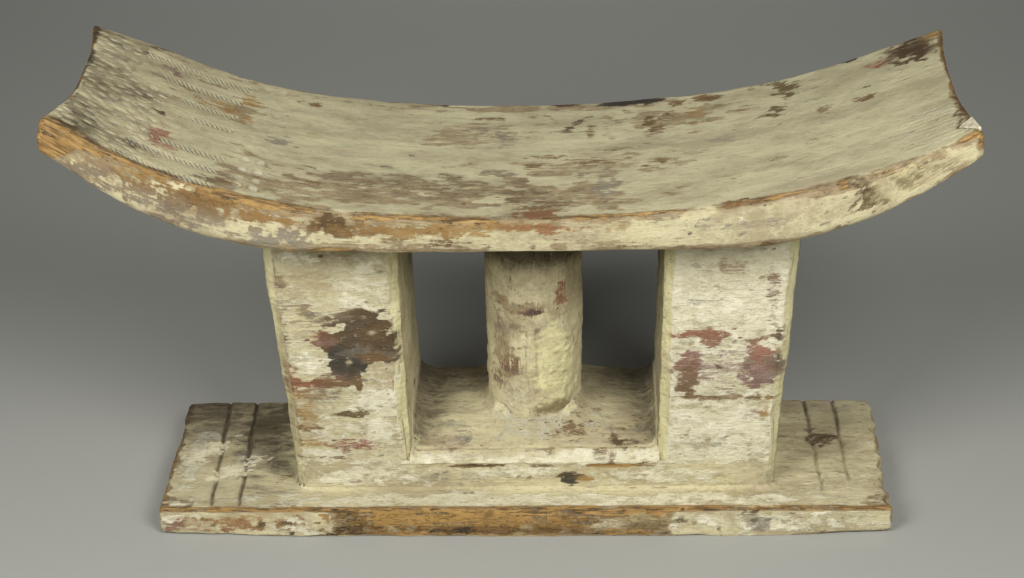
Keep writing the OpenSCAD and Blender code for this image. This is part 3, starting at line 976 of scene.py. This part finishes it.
def age_slab(slab):
    x, y, z = slab.points.T
    scatter(slab, TOP, ("grey", "brown", "cream"), 90, (2, 8), 0.36, 34)
    scatter_specks(slab, TOP, 90, 31)
    scatter_specks(slab, FRONT, 50, 32)
    rubbed_arrises(slab, 1.0, 0.6)
    edge = field(flat_points(x, y), (26, 12, 12), 161, 3)
    paler = slab.on_top * smooth(40, -30, y + 14 * edge)
    slab.wear("chalk", 0.12 * slab.on_top * smooth(-20, -30, y))
    # Soiling on the slab's top, heavier to the left and back, where it is partly painted shade of the posts
    # and seat.
    slab.wear("grime", slab.on_top * (0.68 - 0.35 * smooth(-60, 100, x) - 0.36 * paler))
    slab.wear("grime", 0.5 * np.minimum(1, groove_depth(x, y)) * slab.on_top)
    slab.wear("bare", 0.75 * facing(slab, FRONT) * smooth(-84, -78, x) * smooth(66, 60, x))
    slab.wear("bare", 0.8 * smooth(-42.0, -43.2, y) * smooth(10.5, 12, z))
    rub(slab, "bare", TOP, ((-150, -40, 8, 6, 0.7), (150, -40, 8, 6, 0.6), (-155, 0, 2.5, 46, 0.6),
                            (120, 0, 30, 30, 0.2)))
    # The first patch is painted shade where the left post's shadow falls on the slab.
    rub(slab, "grime", TOP, ((-114, 8, 13, 32, 0.32), (-145, 34, 14, 12, 0.2)))
    rub(slab, "chalk", TOP, ((-146, -8, 4, 26, 0.6), (-121, -6, 6, 9, 0.7), (-140, 15, 4, 4, 0.7),
                             (0, -38, 150, 5, 0.4)))
    rub(slab, "chalk", FRONT, ((-150, 8, 5, 2.5, 0.7), (-139, 8, 4, 2.5, 0.7), (-95, 6, 10, 5, 0.6),
                               (110, 6, 44, 4, 0.5)))
    stain(slab, TOP, (("umber", 132, 9, 5, 7, 0.7), ("cream", -128, -14, 12, 4, 0.8, 40),
                      ("cream", -140, 2, 14, 4, 0.7, 50), ("grey", 118, 30, 12, 10, 0.4)))
    stain(slab, FRONT, SLAB_FRONT_STAINS)
    scatter(slab, FRONT, ("umber", "black", "sand"), 80, (0.6, 2.5), 0.7, 33)


# ---- materials

class Shading:
    """A material's node tree, written as sums of sockets."""

    def __init__(self, name):
        self.material = bpy.data.materials.new(name)
        self.material.use_nodes = True
        self.tree = self.material.node_tree
        self.surface = self.tree.nodes["Principled BSDF"]
        self.flow = self.attribute("flow", "Vector")

    def put(self, socket, value):
        if isinstance(value, bpy.types.NodeSocket):
            self.tree.links.new(value, socket)
        else:
            socket.default_value = value

    def node(self, kind, **inputs):
        """A new node with some of its inputs linked or set; an underscore stands for a space."""
        node = self.tree.nodes.new("ShaderNode" + kind)
        for name, value in inputs.items():
            self.put(node.inputs[name.replace("_", " ")], value)
        return node

    def attribute(self, name, output="Fac"):
        node = self.node("Attribute")
        node.attribute_name = name
        return node.outputs[output]

    def maths(self, operation, *values, kind="Math"):
        node = self.node(kind)
        node.operation = operation
        for socket, value in zip(node.inputs, values):
            self.put(socket, value)
        return node.outputs[0]

    def times(self, a, b):
        return self.maths("MULTIPLY", a, b)

    def total(self, *terms):
        """Adds sockets, each times a weight: total((socket, weight), ..., number)."""
        value, *rest = [self.times(*term) if isinstance(term, tuple) else term for term in terms]
        for term in rest:
            value = self.maths("ADD", value, term)
        return value

    def step(self, value, low, high):
        """0 at low, 1 at high, soft in between."""
        node = self.node("MapRange", Value=value, From_Min=low, From_Max=high)
        node.interpolation_type = "SMOOTHSTEP"
        return node.outputs["Result"]

    def noise(self, cell, detail=3.0, shift=0.0, sharp=0.6):
        """Noise from about -1 to 1 in the grain's own coordinates; cell is its size in mm on each axis."""
        scale = [1.0 / (MM * size) for size in cell]
        place = self.maths("MULTIPLY_ADD", self.flow, scale, [shift] * 3, kind="VectorMath")
        cloud = self.node("TexNoise", Vector=place, Scale=1.0, Detail=detail, Roughness=sharp)
        return self.maths("MULTIPLY_ADD", cloud.outputs["Fac"], 4.0, -2.0)

    def mix(self, factor, a, b):
        """Colour a where factor is 0 and colour b where it is 1; a hex code stands for a colour."""
        node = self.node("Mix", Factor=factor)
        node.data_type = "RGBA"
        for socket, value in ((node.inputs[6], a), (node.inputs[7], b)):
            self.put(socket, (*colour(value), 1) if isinstance(value, str) else value)
        return node.outputs[2]

    def bump(self, height, strength, millimetres):
        node = self.node("Bump", Height=height, Strength=strength, Distance=millimetres * MM)
        self.put(self.surface.inputs["Normal"], node.outputs["Normal"])


class PaintedWood(Shading):
    """Masks made of the layers of wear, soiling and painted shade, and the noises, each known by its name.
    """

    def __init__(self):
        super().__init__("painted_wood")
        self.fields = {layer: self.attribute(layer) for layer in ("bare", "grime", "chalk", "polish")}
        self.fields["stain"] = self.attribute("tint", "Alpha")
        for name, *noise in (
            ("streak", (22, 2.2, 2.2), 6.0, 0.0, 0.7), ("fibre", (9, 0.8, 0.8), 4.0, 7.0, 0.65),
            ("patch", (40, 18, 18), 5.0, 19.0, 0.65), ("blot", (7, 4, 4), 6.0, 31.0, 0.72),
            ("crumb", (2.8, 1.9, 1.9), 4.0, 53.0, 0.7), ("grit", (1.2, 1.0, 1.0), 2.0, 43.0),
            ("blush", (30, 14, 14), 5.0, 67.0),
        ):
            self.fields[name] = self.noise(*noise)

    def weigh(self, *extra, **weights):
        """Adds fields, each times its weight: weigh(bare=1, streak=0.3), and extra terms as total does."""
        return self.total(*((self.fields[name], weight) for name, weight in weights.items()), *extra)

    def mask(self, low, high, **weights):
        """0 where the weighed fields come to low, 1 where they come to high."""
        return self.step(self.weigh(**weights), low, high)


def chalky_paint(m):
    """Cream paint, its paler, pinker and staler patches, and the relief that they have."""
    wash = m.mix(m.mask(-0.5, 0.35, patch=0.7, blot=0.5, crumb=0.25), "#a79a78", "#cac098")
    pink = m.mask(0.25, 0.9, blush=0.9, blot=0.4, fibre=0.2)
    wash = m.mix(m.times(pink, 0.5), wash, "#b39c85")
    pale = m.mask(0.32, 0.52, blot=0.7, streak=0.5, crumb=0.4, chalk=0.4)
    wash = m.mix(m.times(pale, m.weigh(0.85, polish=-0.5)), wash, "#e0d9b7")
    stale = m.mask(0.42, 0.68, patch=0.5, streak=0.6, blot=0.35, fibre=0.3, chalk=-0.5)
    wash = m.mix(m.times(stale, m.weigh(0.75, polish=-0.35)), wash, "#8c7e60")
    chalky = m.mask(0.2, 0.6, chalk=1, blot=0.35, crumb=0.2, streak=0.2)
    white = m.mix(m.mask(-0.6, 0.6, blot=1), "#cbc3a1", "#e4ddc0")
    wash = m.mix(m.times(chalky, m.mask(0.0, 0.3, chalk=1)), wash, white)
    wash = m.mix(m.weigh(polish=0.28), wash, "#aaad8d")
    speck = m.mask(-0.7, -1.0, crumb=0.6, fibre=0.7, patch=0.3, grime=-0.4)
    wash = m.mix(m.times(speck, m.weigh(1.0, polish=-0.65)), wash, "#5a4d3b")
    grain = m.mask(-0.35, -1.0, grit=0.8, fibre=0.6)
    wash = m.mix(m.times(grain, m.weigh(0.4, polish=-0.26)), wash, "#75674d")
    return wash, m.total((pale, 0.12), (speck, -0.4), (chalky, 0.25))


def worn_wood(m):
    """The wood that shows where the paint is worn through, with dark lines in its grain."""
    wood = m.mix(m.mask(-0.5, 0.35, streak=0.6, fibre=0.6), "#553f23", "#aa874f")
    wood = m.mix(m.mask(-0.35, -0.85, crumb=0.8, fibre=0.4), wood, "#3f2e1b")
    lighter = m.mix(m.mask(-0.45, 0.4, fibre=1), "#694c2c", "#b5935c")
    return m.mix(m.mask(0.0, 0.9, patch=1), wood, lighter)


def soiled_and_shaded(m, skin):
    """Soiling and painted shade over a coat, and on it the stains kept in the tint layer."""
    # The dark layer, coloured #463c2c, is soiling in places and painted shade in others: under the seat, on
    # the posts' inner faces, in creases and grooves, and on the floor between the posts.
    soot_and_shade = m.mask(0.15, 1.0, grime=1, blot=0.28, streak=0.1, crumb=0.18)
    skin = m.mix(m.times(soot_and_shade, 0.9), skin, "#463c2c")
    mark = m.mask(0.36, 0.7, stain=1, blot=0.26, crumb=0.26, streak=0.28, fibre=0.36, grit=0.15)
    mark = m.times(mark, m.mask(0.0, 0.3, stain=1))
    flecks = m.mask(-0.3, 0.35, crumb=0.6, fibre=0.7, grit=0.3, stain=-0.7)
    return m.mix(m.times(mark, m.total((flecks, -0.68), 0.93)), skin, m.attribute("tint", "Color"))


def painted_wood():
    """Chalky cream paint over brown wood: rubbed thin first, then through, with dirt and stains."""
    m = PaintedWood()
    wash, relief = chalky_paint(m)
    rubbed = m.weigh(bare=1, chalk=-0.5, streak=0.26, blot=0.28, crumb=0.14, fibre=0.16)
    thinned = m.step(rubbed, 0.24, 0.46)
    through = m.step(rubbed, 0.68, 0.8)
    thin = m.mix(m.mask(-0.6, 0.5, fibre=0.7, streak=0.4, crumb=0.3), "#5f4d36", "#a58f6b")
    skin = m.mix(through, m.mix(m.times(thinned, 0.85), wash, thin), worn_wood(m))
    m.put(m.surface.inputs["Base Color"], soiled_and_shaded(m, skin))
    m.put(m.surface.inputs["Roughness"], m.weigh((through, -0.2), 0.86, grit=0.05))
    m.put(m.surface.inputs["Specular IOR Level"], 0.3)
    relief = m.weigh(relief, (through, -0.5), (thinned, -0.3), fibre=0.08, grit=0.06, crumb=0.13, blot=0.22)
    m.bump(m.times(relief, m.weigh(1.0, polish=-0.65)), 1.0, 0.7)
    return m.material


def plaster():
    """The white filler in the chipped corner."""
    m = Shading("plaster")
    grit = m.noise((1.5, 1.5, 1.5), 3.0)
    m.put(m.surface.inputs["Base Color"], m.mix(m.step(grit, -0.6, 0.6), "#b9b08f", "#dcd6bb"))
    m.put(m.surface.inputs["Roughness"], 0.9)
    m.bump(grit, 0.5, 0.3)
    return m.material


def studio_paper():
    """A plain pale floor."""
    material = bpy.data.materials.new("studio_paper")
    material.use_nodes = True
    inputs = material.node_tree.nodes["Principled BSDF"].inputs
    inputs["Base Color"].default_value = (*colour("#a3a39c"), 1)
    inputs["Roughness"].default_value = 0.85
    inputs["Specular IOR Level"].default_value = 0.1
    return material


# ---- the stage

def make_floor():
    bpy.ops.mesh.primitive_plane_add(size=8, location=(0, 0, 0))
    floor = bpy.context.object
    floor.name = "studio_floor"
    floor.data.materials.append(studio_paper())


def area_light(name, azimuth, elevation, distance, size, power, aim=(0, 0, 0.1)):
    """A square soft lamp that looks at a point, by default the middle of the object."""
    a, e = math.radians(azimuth), math.radians(elevation)
    towards = Vector((math.sin(a) * math.cos(e), -math.cos(a) * math.cos(e), math.sin(e)))
    lamp = bpy.data.lights.new(name, "AREA")
    lamp.shape = "SQUARE"
    lamp.size = size
    lamp.energy = power
    lit = bpy.data.objects.new(name, lamp)
    lit.location = Vector(aim) + towards * distance
    lit.rotation_mode = "QUATERNION"
    lit.rotation_quaternion = towards.to_track_quat("Z", "Y")
    bpy.context.scene.collection.objects.link(lit)


def make_camera():
    """A long lens a little right of the middle, looking down at the object's front."""
    data = bpy.data.cameras.new("photo_camera")
    data.lens = 75.53
    data.sensor_width = 36
    camera = bpy.data.objects.new("photo_camera", data)
    down, turn, roll = (math.radians(angle) for angle in (28.0, -2.39, -1.52))
    place = (0.02975, -0.80377, 0.52211)
    ahead = Vector((math.sin(turn) * math.cos(down), math.cos(turn) * math.cos(down), -math.sin(down)))
    level = Vector((math.cos(turn), -math.sin(turn), 0))
    upright = level.cross(ahead)
    across = level * math.cos(roll) + upright * math.sin(roll)
    upward = upright * math.cos(roll) - level * math.sin(roll)
    turned = Matrix((across, upward, -ahead)).transposed().to_4x4()
    camera.matrix_world = Matrix.Translation(place) @ turned
    bpy.context.scene.collection.objects.link(camera)
    bpy.context.scene.camera = camera


def make_world():
    """A very dim room, so that the lamps make nearly all the light."""
    world = bpy.data.worlds.new("room")
    world.use_nodes = True
    inputs = world.node_tree.nodes["Background"].inputs
    inputs["Color"].default_value = (1.0, 0.99, 0.97, 1)
    inputs["Strength"].default_value = 0.015
    bpy.context.scene.world = world


def make_piece(name, cad_node, skin, lumps, age):
    """Carves a skin by hand, gives it a crust of paint, ages it and makes its piece of painted wood."""
    hand_carved(skin)
    if lumps:
        crust(skin, lumps)
    skin.points[:, 2] = np.maximum(skin.points[:, 2], 0)
    age(skin)
    build(skin, name, paint, cad_node)


paint = painted_wood()
seat = seat_skin()
carve_ornament(seat)
make_piece("carved_seat", "seat", seat, 0, age_seat)
fill = fill_skin()
crust(fill, 0.25)
build(fill, "chip_fill", plaster(), "corner_fill")
for node in POST_SIDES:
    make_piece("carved_" + node, node, post_skin(node), 0.22, age_post)
make_piece("carved_plinth", "plinth", plinth_skin(), 0.3, age_plinth)
make_piece("carved_column", "centre_column", column_skin(), 0.55, age_column)
make_piece("carved_slab", "base_slab", slab_skin(), 0.2, age_slab)

make_floor()
make_camera()
make_world()
area_light("key_left", -38, 36, 0.85, 0.38, 5.5)
area_light("key_right", 31, 38, 0.85, 0.38, 5.8)
area_light("far_fill", 180, 88, 0.5, 0.5, 2.3, (0, 1.15, 0))
bpy.context.scene.view_settings.view_transform = "Standard"
